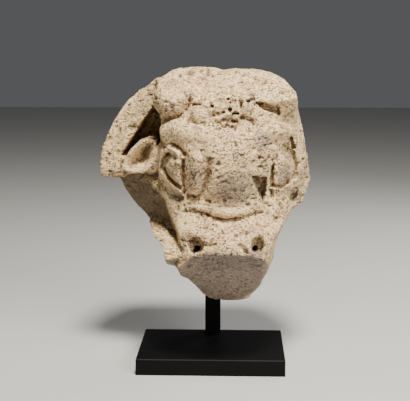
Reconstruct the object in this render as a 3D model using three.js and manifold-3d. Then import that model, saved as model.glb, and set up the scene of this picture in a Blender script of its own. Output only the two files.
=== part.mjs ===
import * as THREE from 'three';
import { mergeVertices } from 'three/addons/utils/BufferGeometryUtils.js';
import Module from 'manifold-3d';

// A bull's head of carved limestone, broken from a building, held up by a steel flat bar in a wooden block.
// Millimetres, +Z up. The origin is the middle of the block's underside and the face looks towards -Y.

// The stone
const HEAD_HEIGHT = 280;
const CHIN_LEVEL = 85;
const FACE_OFFSET = 19.5;

// The block
const BASE_WIDTH = 180;
const BASE_DEPTH = 130;
const BASE_HEIGHT = 20;
const BASE_CHAMFER = 0.8;

// The bar, let into the stone above and into the block below
const BAR_WIDTH = 20;
const BAR_THICKNESS = 10;
const BAR_FROM_BACK_EDGE = 10;
const BAR_CHAMFER = 0.5;
const BAR_IN_STONE = 60;
const BAR_IN_BASE = 12;
const BAR_CLEARANCE = 0.3;

// The stone is carved in parts of its own height, a hundred from chin to crown: x across from the
// middle of the face, y back from the bar's axis, z up from the chin.
const PART = HEAD_HEIGHT / 100;
const MARGIN = 3.4;
const CELL = 1.1;
const FACETS = 8600;

// The face's middle line, as height and place in depth
const PROFILE = [
  [-6, -20], [0, -27.5], [12, -42.5], [24, -57], [26, -59.4], [28, -59.8], [31, -58.8], [35, -54.8],
  [39, -49.4], [44.6, -46.6], [50, -48.2], [57, -50.6], [66, -51.8], [72, -50.2], [77, -46.8], [83, -43.8],
  [88.8, -40.6], [97, -28.5], [104, -18],
];
// Half widths of the face, and how far its sides drop back, by height
const HALF_LEFT = [
  [-4, 9], [0, 11], [6, 15.8], [13, 20.4], [18, 23.2], [28, 22.4], [36, 24.4], [44, 27.3], [57, 29.8],
  [66, 30], [76, 28.5], [90, 29.5], [104, 30],
];
const HALF_RIGHT = [
  [-4, 9], [0, 11], [6, 15.5], [18, 20.5], [28, 22], [36, 26], [44, 31], [52, 35], [60, 34.5],
  [70, 33], [80, 31], [90, 30.5], [104, 30],
];
const DROP_LEFT = [[0, 8], [18, 12], [30, 12], [44, 15], [57, 18], [70, 16], [80, 12], [88, 3], [104, 2]];
const DROP_RIGHT = [
  [0, 8], [18, 9], [30, 11], [44, 19], [52, 27], [60, 26], [70, 24], [80, 17], [88, 4], [104, 3],
];
// The broken edge of the whole stone, seen from the front
const OUTLINE = [
  [-31, 95.6], [-37.2, 91], [-43, 87], [-49.6, 77.7], [-54.8, 66], [-56, 55], [-54.6, 52.8], [-50, 50.4],
  [-44.4, 41], [-37.4, 34.4], [-31.9, 29], [-28.8, 27.2], [-26.6, 24.8], [-25, 19.8], [-21.6, 18.6],
  [-20.1, 12.4], [-16.4, 11], [-13, 5.6], [-11.4, 2],
  [-8, -1.6], [9.5, -1.6], [14, 4.4], [15.6, 10.5], [19.4, 18], [21.4, 24.5],
  [24, 32], [28, 38.6], [32.6, 42], [34, 46.4], [36, 52.8], [33, 69.7], [30, 84], [28.6, 90],
  [24.4, 95], [19, 98], [11, 99.6], [3, 99.6], [-2, 98.8], [-5.6, 99.8], [-12.6, 100.6], [-20, 99.9],
  [-24.6, 98.6], [-28.6, 96],
];
const WALL_FRONT = -22;
const WALL_BACK = 9;
const SHELF_LEVEL = 52.8;
const SHELF_RISE = 5;
const EAR = [
  [-45.6, 57.8], [-44.2, 62], [-41.6, 65.8], [-38, 69.2], [-34.2, 70.4], [-30.4, 69.4], [-30.6, 65.4],
  [-31.4, 61], [-33.4, 57.4], [-36.6, 55.4], [-42.8, 55.2],
];
const POCKET = [
  [-31.8, 84.6], [-38.8, 75], [-46.8, 62.4], [-40, 61.6], [-31.5, 62.6], [-28.8, 65], [-28.4, 70], [-28.6, 78],
];
const LEFT_EYE = [
  [-22.9, 64.4], [-20.4, 62.6], [-19.2, 58], [-19.2, 51.8], [-22.2, 53.2], [-25.2, 55.8], [-26.4, 59.4],
  [-25.2, 62.8],
];
const RIGHT_EYE = [
  [22.4, 64.8], [19.6, 62], [18.9, 57], [19.6, 52.6], [22.6, 51.3], [25.6, 53.4], [27, 57.4], [25.8, 62.2],
];
// Hollows: the notch by the nose, the slot drilled beside the forehead, and the one under the right horn
const WEDGE = [[9.7, 57], [16.1, 55.8], [16, 50.4], [14.6, 45.4], [12.6, 49.6]];
const SLOT = [[25.8, 72], [27.4, 71.7], [29.1, 66.6], [27, 66.6]];
const UNDER_HORN = [[9.6, 87], [13.6, 86.8], [21.6, 84.6], [21.7, 80.9], [15, 83]];
// Ridges and cut grooves of the face, as height, half width and line. A groove's height is below zero.
const MARKS = [
  [3, 2.2, [[-29.2, 56], [-28.9, 61], [-27.2, 65.6], [-23.9, 67.2], [-20.9, 65.6], [-19.7, 61.5]]],
  [1.7, 2.6, [[-28.6, 58], [-27.6, 54.4], [-24.7, 51.4], [-19.8, 49.8]]],
  [-2.2, 1.4, [[-28.4, 69.8], [-24.6, 70.4], [-21, 68.8], [-17.4, 65.6]]],
  [-2, 1.4, [[-17.7, 62], [-18, 49.2]]],
  [2.8, 4.3, [[-12.3, 63.2], [-12.8, 51.4]]],
  [-2.4, 1.6, [[-7.3, 64], [-7.8, 57], [-9.5, 50.8], [-12.6, 47.6], [-16, 47.3]]],
  [-2.8, 1.5, [[23.6, 68.6], [27.4, 64.6], [28.9, 59.4], [28.4, 54.4]]],
  [1.8, 1.2, [[18.8, 50.6], [22.6, 49.8], [26.2, 51.6]]],
  [-2, 1.4, [[17.8, 57], [17.4, 46.6]]],
  [-1.6, 1.2, [[-4.2, 39.3], [0, 38.8], [5, 39.3]]],
  [-2.6, 2.2, [[-31, 79], [-25.6, 78.8], [-21, 80.8], [-18, 82.8], [-16.2, 87]]],
  [-1.6, 2.6, [[8, 91.5], [12.5, 88.6]]],
];
// Knobs of hair on the poll, as place across, height and two radii
const KNOBS = [
  [-3.4, 84.6, 3.4, 2.3], [-0.8, 85.4, 2.2, 2], [3, 84.4, 2.3, 2.6], [8, 83.6, 2.9, 3.3], [6.8, 88, 2.1, 1.5],
  [10.2, 87.6, 1.6, 1.7], [0.3, 87.9, 1.9, 1.4], [-6.4, 87.2, 2.2, 1.9], [-0.2, 81.7, 2.1, 1.6],
  [4.2, 80.6, 2.2, 1.7], [-3.4, 80, 1.8, 1.1], [-8.8, 85.6, 1.9, 1.8], [2, 78.1, 2.1, 1],
  [-1.4, 78, 1.3, 0.9], [10.4, 80.8, 1.5, 1.3], [-7.2, 83.4, 1.6, 1.7],
];
// The fold over the nose, as place across, depth, height and size
const FOLD = [
  [-15.5, -44.6, 43.6, 0.5], [-10, -47.2, 43.2, 1.3], [-5, -48.8, 42.2, 1.9], [0, -49.4, 41.6, 2.3],
  [5, -48.9, 42, 2], [10, -47.4, 42.6, 1.2], [15, -44.8, 42.4, 0.5],
];
// The nostrils: the hollow's place across, height and two radii, then the place and height of the hole in it
const NOSTRILS = [[-13, 30.2, 3.7, 3.3, -12.2, 27.9], [12.9, 29.8, 3, 3.7, 12.1, 27.9]];

const wasm = await Module();
wasm.setup();

const { abs, hypot, max, min, sin, sqrt } = Math;
const clamp = THREE.MathUtils.clamp;

function rise(from, to, value) {
  const t = clamp((value - from) / (to - from), 0, 1);
  return t * t * (3 - 2 * t);
}

// Distances are negative inside the stone. join, cut and meet combine two of them with a rounding of k.
function join(a, b, k) {
  const h = clamp(0.5 + (0.5 * (b - a)) / k, 0, 1);
  return b + (a - b) * h - k * h * (1 - h);
}

function cut(a, b, k) {
  return -join(-a, b, k);
}

function meet(a, b, k) {
  return -join(-a, -b, k);
}

// A smooth curve through pairs of place and value
function through(pairs, place) {
  const last = pairs.length - 1;
  const t = clamp(place, pairs[0][0], pairs[last][0]);
  let i = 0;
  while (i < last - 1 && t > pairs[i + 1][0]) i += 1;
  const slope = (j) => (pairs[j + 1][1] - pairs[j][1]) / (pairs[j + 1][0] - pairs[j][0]);
  const bend = (j) => {
    if (j === 0) return slope(0);
    if (j === last) return slope(last - 1);
    return slope(j - 1) * slope(j) <= 0 ? 0 : (slope(j - 1) + slope(j)) / 2;
  };
  const width = pairs[i + 1][0] - pairs[i][0];
  const u = (t - pairs[i][0]) / width;
  const v = 1 - u;
  return (1 + 2 * u) * v * v * pairs[i][1] + u * v * v * width * bend(i)
    + u * u * (3 - 2 * u) * pairs[i + 1][1] - u * u * v * width * bend(i + 1);
}

function polygon(corners, x, z) {
  let nearest = Infinity;
  let inside = false;
  for (let i = 0, j = corners.length - 1; i < corners.length; j = i, i += 1) {
    const [ax, az] = corners[j];
    const [bx, bz] = corners[i];
    const ex = bx - ax;
    const ez = bz - az;
    const t = clamp(((x - ax) * ex + (z - az) * ez) / (ex * ex + ez * ez), 0, 1);
    nearest = min(nearest, hypot(x - ax - ex * t, z - az - ez * t));
    if (az > z !== bz > z && x < ax + (ex * (z - az)) / ez) inside = !inside;
  }
  return inside ? -nearest : nearest;
}

function ellipsoid(x, y, z, [cx, cy, cz], [rx, ry, rz]) {
  const [dx, dy, dz] = [(x - cx) / rx, (y - cy) / ry, (z - cz) / rz];
  const near = hypot(dx, dy, dz);
  return (near * (near - 1)) / max(hypot(dx / rx, dy / ry, dz / rz), 1e-6);
}

// A rod with round ends from a to b, its radius going from ra to rb
function rod(x, y, z, a, b, ra, rb) {
  const [ex, ey, ez] = [b[0] - a[0], b[1] - a[1], b[2] - a[2]];
  const along = (x - a[0]) * ex + (y - a[1]) * ey + (z - a[2]) * ez;
  const t = clamp(along / (ex * ex + ey * ey + ez * ez), 0, 1);
  return hypot(x - a[0] - ex * t, y - a[1] - ey * t, z - a[2] - ez * t) - ra - (rb - ra) * t;
}

// Distance above a plane through a point, positive on the side of its normal
function plane(x, y, z, [nx, ny, nz], [px, py, pz]) {
  return ((x - px) * nx + (y - py) * ny + (z - pz) * nz) / hypot(nx, ny, nz);
}

// Distance in the face's plane to a chiselled line
function stroke(x, z, line) {
  let nearest = Infinity;
  for (let i = 0; i + 1 < line.length; i += 1) {
    const [ax, az] = line[i];
    const ex = line[i + 1][0] - ax;
    const ez = line[i + 1][1] - az;
    const t = clamp(((x - ax) * ex + (z - az) * ez) / (ex * ex + ez * ez), 0, 1);
    nearest = min(nearest, hypot(x - ax - ex * t, z - az - ez * t));
  }
  return nearest;
}

// 1 on a line, falling to 0 at its width
function ridge(far, width) {
  return clamp(1 - (far / width) ** 2, 0, 1) ** 1.5;
}

// 0 at an edge, rising steeply and then rounding off to 1 at its reach inside
function bulge(inside, reach) {
  return sqrt(1 - (1 - clamp(inside / reach, 0, 1)) ** 2);
}

// How far the eyes, the folds round them and the cut marks stand out
function faceRelief(x, z) {
  let relief = 3.6 * bulge(-polygon(LEFT_EYE, x, z), 3) + 2.9 * bulge(-polygon(RIGHT_EYE, x, z), 3.6);
  for (const [height, width, line] of MARKS) relief += height * ridge(stroke(x, z, line), width);
  return relief - 4.6 * rise(0, 1.3, -polygon(WEDGE, x, z));
}

// How far back the carved front of the face lies
function faceDepth(x, z, half, drop) {
  const across = abs(x);
  const level = rise(43, 50, z) * (1 - rise(66, 74, z));
  const bridge = -1.8 * level * rise(7.4, 10.4, across);
  const socket = -2.4 * ridge(hypot((across - 22.5) / 9, (z - 60) / 13), 1);
  const lipDrop = 6.5 * (across / 19) ** 4 * (1 - rise(24, 34, z));
  return through(PROFILE, z + lipDrop) + drop * (across / half) ** 2.6 - bridge - socket - faceRelief(x, z);
}

// What depends only on the place across and the height
function column(x, z) {
  const left = x < 0;
  const half = through(left ? HALF_LEFT : HALF_RIGHT, z);
  const drop = through(left ? DROP_LEFT : DROP_RIGHT, z);
  return {
    x,
    z,
    half,
    underside: through(PROFILE, z) + 4,
    front: faceDepth(x, z, half, drop),
    edge: polygon(OUTLINE, x, z),
    pocket: polygon(POCKET, x, z),
    slot: polygon(SLOT, x, z),
    underHorn: polygon(UNDER_HORN, x, z),
    ear: polygon(EAR, x, z),
  };
}

// Slow unevenness of the broken faces
function unevenness(x, y, z) {
  const across = sin(0.33 * x + 1.7 * sin(0.21 * z) + 0.11 * y);
  const up = sin(0.29 * z + 1.1 * sin(0.19 * x) + 0.25 * y + 1);
  return 0.6 * across * up;
}

function faceAndHorns({ x, z, half, front, underHorn }, y, uneven) {
  const side = abs(x) - half - 0.15 * (y + (x < 0 ? 30 : 25));
  let stone = meet((front - y) * 0.72, side * 0.95 + 0.5 * uneven, 2.6);
  for (const hand of [-1, 1]) {
    const heavy = hand < 0 ? 1 : 0.8;
    const line = [[24.6, -36.4, 73.6], [19.4, -40.6, 74.8], [12.4, -45, 73], [8, -47.2, 72]];
    const brow = line.map(([across, deep, up]) => [hand * across, deep, up]);
    const size = [4.5 * heavy, 5.1 * heavy, 3.9 * heavy, 2.4 * heavy];
    const parts = [0, 1, 2].map((i) => rod(x, y, z, brow[i], brow[i + 1], size[i], size[i + 1]));
    stone = join(stone, min(...parts), 1.4);
  }
  stone = cut(stone, ellipsoid(x, y, z, [14.8, -49.6, 69.6], [4.6, 2.6, 6.4]), 0.8);
  stone = join(stone, ellipsoid(x, y, z, [-22.8, -30, 87.6], [9, 13.6, 9]), 0.9);
  stone = join(stone, ellipsoid(x, y, z, [20.4, -30.4, 91.2], [11, 14.2, 8.2]), 3);
  stone = meet(stone, plane(x, y, z, [0.02, -0.55, 0.83], [0, -39.5, 90]) + 0.8 * uneven, 0.7);
  return cut(stone, meet(underHorn, abs(y + 45) - 8, 0.6), 0.5);
}

// The wall that the head grew from, with the flank cut back between the shelf and a lower ledge
function wall({ x, z, underside }, y, uneven) {
  const shelf = SHELF_LEVEL + SHELF_RISE * rise(-46, -38, x);
  const flank = plane(x, y, z, [-0.719, -0.547, -0.431], [-27, -30, 44]) + 0.8 * uneven;
  const ledge = plane(x, y, z, [-0.1, -0.23, 0.97], [-20, -28.9, 31]) + 0.5 * uneven;
  const jaw = plane(x, y, z, [-0.45, -0.75, 0.48], [-20, -50, 26]) + 0.5 * uneven;
  const lower = meet(meet(jaw, underside - y, 1.5), meet(z - shelf, x + 7, 1), 0.6);
  const recess = meet(meet(-flank, z - shelf + 0.5 * uneven, 1), -ledge, 3);
  return cut(min(WALL_FRONT - y, lower), recess, 1.2);
}

const BACK_BREAKS = [
  [[0.03, 1, -0.02], [0, WALL_BACK, 50]],
  [[0, 0.72, 0.69], [0, 4, 94]],
  [[-0.8, 0.57, 0.2], [-48, 1, 70]],
  [[0.78, 0.62, 0.05], [29, 4, 60]],
  [[0.1, 0.5, -0.86], [0, 8, 8]],
  [[-0.55, 0.62, -0.56], [-36, 4, 28]],
];

function brokenBack(stone, x, y, z, uneven) {
  for (const [normal, point] of BACK_BREAKS) stone = meet(stone, plane(x, y, z, normal, point) + uneven, 1.2);
  return stone;
}

function earAndPocket(stone, { x, z, ear, pocket }, y) {
  const front = -30 + 0.16 * (-38 - x);
  const root = rod(x, y, z, [-33.5, -25.5, 58.6], [-27, -28.5, 64], 4, 4.4);
  const leaf = meet(meet(ear, front - y, 0.5), y + 14 + 0.4 * ear, 1);
  const opened = cut(stone, meet(pocket, y + 4, 1.5), 0.8);
  const deep = 5 + 6 * rise(-41, -33, x) * rise(56, 65, z);
  const floor = front + deep * rise(0, 4.2, -(ear + 1));
  return cut(join(join(opened, root, 2), leaf, 0.8), meet(ear + 1, y - floor, 0.4), 0.3);
}

function hair(stone, x, y, z) {
  if (z < 74 || z > 93 || y > -34 || abs(x) > 20) return stone;
  for (const [across, height, wide, tall] of KNOBS) {
    const centre = [across, through(PROFILE, height) - 0.8, height];
    stone = join(stone, ellipsoid(x, y, z, centre, [wide, 0.42 * (wide + tall), tall]), 0.4);
  }
  return join(stone, ellipsoid(x, y, z, [-11, -42.8, 81], [4, 3.6, 4.2]), 0.6);
}

function muzzle(stone, x, y, z) {
  if (z < 20 || z > 48 || y > -38) return stone;
  let fold = Infinity;
  for (let i = 0; i + 1 < FOLD.length; i += 1) {
    fold = min(fold, rod(x, y, z, FOLD[i], FOLD[i + 1], FOLD[i][3], FOLD[i + 1][3]));
  }
  stone = join(stone, fold, 0.5);
  for (const [across, height, wide, tall, holeAcross, holeHeight] of NOSTRILS) {
    const hand = across < 0 ? -1 : 1;
    const outer = [across + hand * 4.2, -51, height - 1];
    const tip = [across, -54.4, height + 4.4];
    const inner = [across - hand * 5.2, -57, height + 1.6];
    stone = join(stone, rod(x, y, z, outer, tip, 1.6, 2.3), 1.2);
    stone = join(stone, rod(x, y, z, tip, inner, 2.3, 1.5), 1.2);
    stone = cut(stone, ellipsoid(x, y, z, [across, -57.4, height], [wide, 5, tall]), 0.6);
    const hole = [[holeAcross, -62, holeHeight], [holeAcross - hand, -44, holeHeight - 1.4]];
    stone = cut(stone, rod(x, y, z, ...hole, 1.6, 1.2), 0.4);
  }
  return stone;
}

function stoneAt(place, y) {
  const { x, z, edge, slot } = place;
  const uneven = unevenness(x, y, z);
  if (edge > 3) return edge;
  let stone = join(faceAndHorns(place, y, uneven), wall(place, y, uneven), 1.2);
  stone = brokenBack(meet(stone, edge + 0.6 * uneven, 1), x, y, z, uneven);
  stone = earAndPocket(stone, place, y);
  stone = muzzle(hair(stone, x, y, z), x, y, z);
  stone = cut(stone, meet(slot, abs(y + 36) - 5, 0.2), 0.2);
  return cut(stone, ellipsoid(x, y, z, [29.4, -31, 46], [3, 5.4, 3.9]), 0.6);
}

// The lowest corner of the box that the stone is worked out in, or its highest one
function limit(furthest, margin) {
  const across = furthest(...OUTLINE.map(([x]) => x));
  const deep = furthest(WALL_BACK, ...PROFILE.map(([, y]) => y));
  const up = furthest(...OUTLINE.map(([, z]) => z));
  return [across + margin, deep + margin, up + margin];
}

const lowest = limit(min, -MARGIN);
const highest = limit(max, MARGIN);

// A grid of the stone's values
function sampleStone() {
  const count = lowest.map((low, axis) => Math.ceil((highest[axis] - low) / CELL) + 1);
  const step = [count[1] * count[2], 1, count[1]];
  const values = new Float64Array(count[0] * count[1] * count[2]);
  for (let i = 0; i < count[0]; i += 1) {
    for (let k = 0; k < count[2]; k += 1) {
      const place = column(lowest[0] + i * CELL, lowest[2] + k * CELL);
      for (let j = 0; j < count[1]; j += 1) {
        values[i * step[0] + j + k * step[2]] = stoneAt(place, lowest[1] + j * CELL);
      }
    }
  }
  return { count, step, values };
}

// For each pattern of a cell's eight corners, whether the solid ones and the empty ones each hang together
function wholePatterns() {
  const together = (pattern) => {
    if (pattern === 0) return true;
    let reached = pattern & -pattern;
    for (let round = 0; round < 8; round += 1) {
      for (let corner = 0; corner < 8; corner += 1) {
        if (!(reached & (1 << corner))) continue;
        for (const side of [1, 2, 4]) reached |= (1 << (corner ^ side)) & pattern;
      }
    }
    return reached === pattern;
  };
  return Array.from({ length: 256 }, (_, pattern) => together(pattern) && together(255 - pattern));
}

function eachCell({ count, step }, visit) {
  for (let i = 0; i + 1 < count[0]; i += 1) {
    for (let k = 0; k + 1 < count[2]; k += 1) {
      for (let j = 0; j + 1 < count[1]; j += 1) visit(i * step[0] + j + k * step[2], i, j, k);
    }
  }
}

function cornerOffsets(step) {
  const bit = (corner, axis) => (corner >> axis) & 1;
  return Array.from({ length: 8 }, (_, c) => bit(c, 0) * step[0] + bit(c, 1) * step[1] + bit(c, 2) * step[2]);
}

// The value of a sample that is filled in, just under the surface
const FILLED = -0.001;

// Fills the cells where the surface would touch itself at a point or an edge
function fillPinches(grid) {
  const { step, values } = grid;
  const offsets = cornerOffsets(step);
  const whole = wholePatterns();
  for (let filled = 1; filled > 0;) {
    filled = 0;
    eachCell(grid, (cell) => {
      let pattern = 0;
      for (let c = 0; c < 8; c += 1) if (values[cell + offsets[c]] < 0) pattern |= 1 << c;
      if (whole[pattern]) return;
      for (const offset of offsets) values[cell + offset] = min(values[cell + offset], FILLED);
      filled += 1;
    });
  }
}

// Fills the pockets inside the stone that the air round it doesn't reach
function fillPockets({ step, values }) {
  const reached = new Uint8Array(values.length);
  const open = [0];
  reached[0] = 1;
  while (open.length > 0) {
    const at = open.pop();
    for (const stride of step) {
      for (const next of [at - stride, at + stride]) {
        if (reached[next] !== 0 || values[next] < 0) continue;
        reached[next] = 1;
        open.push(next);
      }
    }
  }
  for (let at = 0; at < values.length; at += 1) if (!reached[at]) values[at] = min(values[at], FILLED);
}

// One point in each cell that the surface passes, and a four-sided face across each grid edge that it cuts
function skin(grid) {
  const { step, values } = grid;
  const offsets = cornerOffsets(step);
  const pointOf = new Int32Array(values.length).fill(-1);
  const points = [];
  eachCell(grid, (cell, ...index) => {
    const sum = [0, 0, 0];
    let crossings = 0;
    for (let c = 0; c < 8; c += 1) {
      for (let axis = 0; axis < 3; axis += 1) {
        if ((c >> axis) & 1) continue;
        const here = values[cell + offsets[c]];
        const there = values[cell + offsets[c | (1 << axis)]];
        if (here < 0 === there < 0) continue;
        crossings += 1;
        for (let a = 0; a < 3; a += 1) sum[a] += a === axis ? here / (here - there) : (c >> a) & 1;
      }
    }
    if (crossings === 0) return;
    pointOf[cell] = points.length / 3;
    for (let a = 0; a < 3; a += 1) points.push(lowest[a] + (index[a] + sum[a] / crossings) * CELL);
  });
  const faces = [];
  eachCell(grid, (cell) => {
    for (let axis = 0; axis < 3; axis += 1) {
      const solid = values[cell] < 0;
      if (solid === values[cell + step[axis]] < 0) continue;
      const [u, v] = [step[(axis + 1) % 3], step[(axis + 2) % 3]];
      const ring = [cell, cell - u, cell - u - v, cell - v].map((index) => pointOf[index]);
      const [a, b, c, d] = solid ? ring : ring.reverse();
      faces.push(...(gap(points, a, c) < gap(points, b, d) ? [a, b, c, a, c, d] : [b, c, d, b, d, a]));
    }
  });
  return { points, faces };
}

function gap(points, a, b) {
  return hypot(...[0, 1, 2].map((axis) => points[3 * a + axis] - points[3 * b + axis]));
}

// A list kept with its smallest key on top
class Heap {
  items = [];

  push(item) {
    const { items } = this;
    let at = items.push(item) - 1;
    while (at > 0 && items[(at - 1) >> 1].key > item.key) {
      items[at] = items[(at - 1) >> 1];
      at = (at - 1) >> 1;
    }
    items[at] = item;
  }

  pop() {
    const { items } = this;
    const top = items[0];
    const item = items.pop();
    if (items.length === 0) return top;
    let at = 0;
    for (let child = 1; child < items.length; child = 2 * at + 1) {
      if (child + 1 < items.length && items[child + 1].key < items[child].key) child += 1;
      if (items[child].key >= item.key) break;
      items[at] = items[child];
      at = child;
    }
    items[at] = item;
    return top;
  }
}

// Thins a closed triangle mesh, collapsing the edges that move the surface least
function thin({ points, faces }, wanted) {
  const around = Array.from({ length: points.length / 3 }, () => new Set());
  const quadrics = new Float64Array((points.length / 3) * 10);
  const stamps = new Int32Array(points.length / 3);
  const triangles = [];
  const at = (v) => [points[3 * v], points[3 * v + 1], points[3 * v + 2]];
  const normalOf = (p, q, r) => {
    const [ux, uy, uz] = [q[0] - p[0], q[1] - p[1], q[2] - p[2]];
    const [vx, vy, vz] = [r[0] - p[0], r[1] - p[1], r[2] - p[2]];
    return [uy * vz - uz * vy, uz * vx - ux * vz, ux * vy - uy * vx];
  };
  for (let f = 0; f < faces.length; f += 3) {
    const corners = [faces[f], faces[f + 1], faces[f + 2]];
    const n = normalOf(...corners.map(at));
    const area = hypot(...n) || 1e-12;
    const [a, b, c] = n.map((value) => value / area);
    const p = at(corners[0]);
    const d = -(a * p[0] + b * p[1] + c * p[2]);
    const terms = [a * a, a * b, a * c, a * d, b * b, b * c, b * d, c * c, c * d, d * d];
    for (const v of corners) {
      around[v].add(triangles.length);
      for (let i = 0; i < 10; i += 1) quadrics[10 * v + i] += terms[i] * area;
    }
    triangles.push(corners);
  }
  const cost = (q, [x, y, z]) => q[0] * x * x + 2 * q[1] * x * y + 2 * q[2] * x * z + 2 * q[3] * x
    + q[4] * y * y + 2 * q[5] * y * z + 2 * q[6] * y + q[7] * z * z + 2 * q[8] * z + q[9];
  // The point that suits both ends' planes best, or their middle where the planes don't fix one
  const bestPoint = (q, a, b) => {
    const middle = [0, 1, 2].map((i) => (points[3 * a + i] + points[3 * b + i]) / 2);
    const stiff = 1e-3 * (q[0] + q[4] + q[7]);
    const [xx, xy, xz, yy, yz, zz] = [q[0] + stiff, q[1], q[2], q[4] + stiff, q[5], q[7] + stiff];
    const right = [stiff * middle[0] - q[3], stiff * middle[1] - q[6], stiff * middle[2] - q[8]];
    const [c0, c1, c2] = [yy * zz - yz * yz, xz * yz - xy * zz, xy * yz - xz * yy];
    const det = xx * c0 + xy * c1 + xz * c2;
    if (abs(det) < 1e-14) return middle;
    return [
      (c0 * right[0] + c1 * right[1] + c2 * right[2]) / det,
      (c1 * right[0] + (xx * zz - xz * xz) * right[1] + (xy * xz - xx * yz) * right[2]) / det,
      (c2 * right[0] + (xy * xz - xx * yz) * right[1] + (xx * yy - xy * xy) * right[2]) / det,
    ];
  };
  const heap = new Heap();
  const offer = (a, b) => {
    const q = new Float64Array(10);
    for (let i = 0; i < 10; i += 1) q[i] = quadrics[10 * a + i] + quadrics[10 * b + i];
    const point = bestPoint(q, a, b);
    heap.push({ key: cost(q, point) + 1e-6 * gap(points, a, b), a, b, point, sa: stamps[a], sb: stamps[b] });
  };
  const neighbours = (v) => {
    const near = new Set();
    for (const t of around[v]) for (const w of triangles[t]) if (w !== v) near.add(w);
    return near;
  };
  const keepsShape = (v, other, point) => {
    for (const t of around[v]) {
      const corners = triangles[t];
      if (corners.includes(other)) continue;
      const before = corners.map(at);
      const after = corners.map((w, i) => (w === v ? point : before[i]));
      const old = normalOf(...before);
      const now = normalOf(...after);
      const area = hypot(...now);
      const sides = after.map((p, i) => hypot(...p.map((value, axis) => value - after[(i + 1) % 3][axis])));
      if (area < 0.06 * max(...sides) ** 2) return false;
      if (old[0] * now[0] + old[1] * now[1] + old[2] * now[2] < 0.35 * hypot(...old) * area) return false;
    }
    return true;
  };
  triangles.forEach(([a, b, c]) => {
    for (const [v, w] of [[a, b], [b, c], [c, a]]) if (v < w) offer(v, w);
  });
  let left = triangles.length;
  while (left > wanted && heap.items.length > 0) {
    const { a, b, point, sa, sb } = heap.pop();
    if (sa !== stamps[a] || sb !== stamps[b]) continue;
    const near = neighbours(a);
    let shared = 0;
    for (const w of neighbours(b)) if (near.has(w)) shared += 1;
    if (shared !== 2 || !keepsShape(a, b, point) || !keepsShape(b, a, point)) continue;
    for (const t of [...around[b]]) {
      if (triangles[t].includes(a)) {
        for (const w of triangles[t]) around[w].delete(t);
        triangles[t] = null;
        left -= 1;
      } else {
        triangles[t] = triangles[t].map((w) => (w === b ? a : w));
        around[a].add(t);
      }
    }
    around[b].clear();
    for (let i = 0; i < 3; i += 1) points[3 * a + i] = point[i];
    for (let i = 0; i < 10; i += 1) quadrics[10 * a + i] += quadrics[10 * b + i];
    stamps[a] += 1;
    stamps[b] = -1;
    for (const w of neighbours(a)) offer(a, w);
  }
  return { points, faces: triangles.filter((corners) => corners !== null).flat() };
}

function solidOf(points, faces) {
  const vertProperties = Float32Array.from(points);
  return new wasm.Manifold(new wasm.Mesh({ numProp: 3, vertProperties, triVerts: Uint32Array.from(faces) }));
}

function solidOfGeometry(geometry) {
  geometry.deleteAttribute('normal');
  geometry.deleteAttribute('uv');
  const merged = mergeVertices(geometry, 1e-4);
  return solidOf(merged.attributes.position.array, merged.index.array);
}

function geometryOf(solid) {
  const { vertProperties, triVerts } = solid.getMesh();
  const geometry = new THREE.BufferGeometry();
  geometry.setAttribute('position', new THREE.BufferAttribute(vertProperties, 3));
  geometry.setIndex(new THREE.BufferAttribute(triVerts, 1));
  return geometry;
}

// A block standing on z = bottom with every edge chamfered
function chamferedBlock(width, depth, bottom, top, chamfer) {
  const [w, d, c] = [width / 2, depth / 2, chamfer];
  const corners = [
    [c - w, -d], [w - c, -d], [w, c - d], [w, d - c], [w - c, d], [c - w, d], [-w, d - c], [-w, c - d],
  ];
  const outline = new THREE.Shape(corners.map(([x, y]) => new THREE.Vector2(x, y)));
  const geometry = new THREE.ExtrudeGeometry(outline, {
    depth: top - bottom - 2 * c,
    bevelSize: c,
    bevelOffset: -c,
    bevelThickness: c,
    bevelSegments: 1,
    curveSegments: 1,
  });
  return geometry.translate(0, 0, bottom + c);
}

const barSetback = BASE_DEPTH / 2 - BAR_FROM_BACK_EDGE;
const barTop = CHIN_LEVEL + BAR_IN_STONE;
const barFoot = BASE_HEIGHT - BAR_IN_BASE;

// The room that the bar needs, a little larger than the bar itself
function barRoom(bottom, top) {
  const width = BAR_WIDTH + 2 * BAR_CLEARANCE;
  const thickness = BAR_THICKNESS + 2 * BAR_CLEARANCE;
  const geometry = new THREE.BoxGeometry(width, thickness, top - bottom);
  return solidOfGeometry(geometry.translate(0, barSetback, (bottom + top) / 2));
}

const limestone = new THREE.MeshStandardMaterial({ color: 0xd8c8ad, roughness: 0.93, metalness: 0 });
const blackPaint = new THREE.MeshStandardMaterial({ color: 0x0b0b0c, roughness: 0.45, metalness: 0.2 });
const blackLacquer = new THREE.MeshStandardMaterial({ color: 0x121212, roughness: 0.4, metalness: 0 });

function bullHead() {
  const grid = sampleStone();
  fillPinches(grid);
  fillPockets(grid);
  const { points, faces } = thin(skin(grid), FACETS);
  const origin = [FACE_OFFSET, barSetback, CHIN_LEVEL];
  const placed = points.map((value, i) => origin[i % 3] + value * PART);
  const socket = barRoom(BASE_HEIGHT, barTop + BAR_CLEARANCE);
  return new THREE.Mesh(geometryOf(solidOf(placed, faces).subtract(socket)), limestone);
}

function supportBar() {
  const geometry = chamferedBlock(BAR_WIDTH, BAR_THICKNESS, barFoot, barTop, BAR_CHAMFER);
  const mesh = new THREE.Mesh(geometry, blackPaint);
  mesh.position.y = barSetback;
  return mesh;
}

function baseBlock() {
  const block = solidOfGeometry(chamferedBlock(BASE_WIDTH, BASE_DEPTH, 0, BASE_HEIGHT, BASE_CHAMFER));
  const socket = barRoom(barFoot - BAR_CLEARANCE, CHIN_LEVEL);
  return new THREE.Mesh(geometryOf(block.subtract(socket)), blackLacquer);
}

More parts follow.
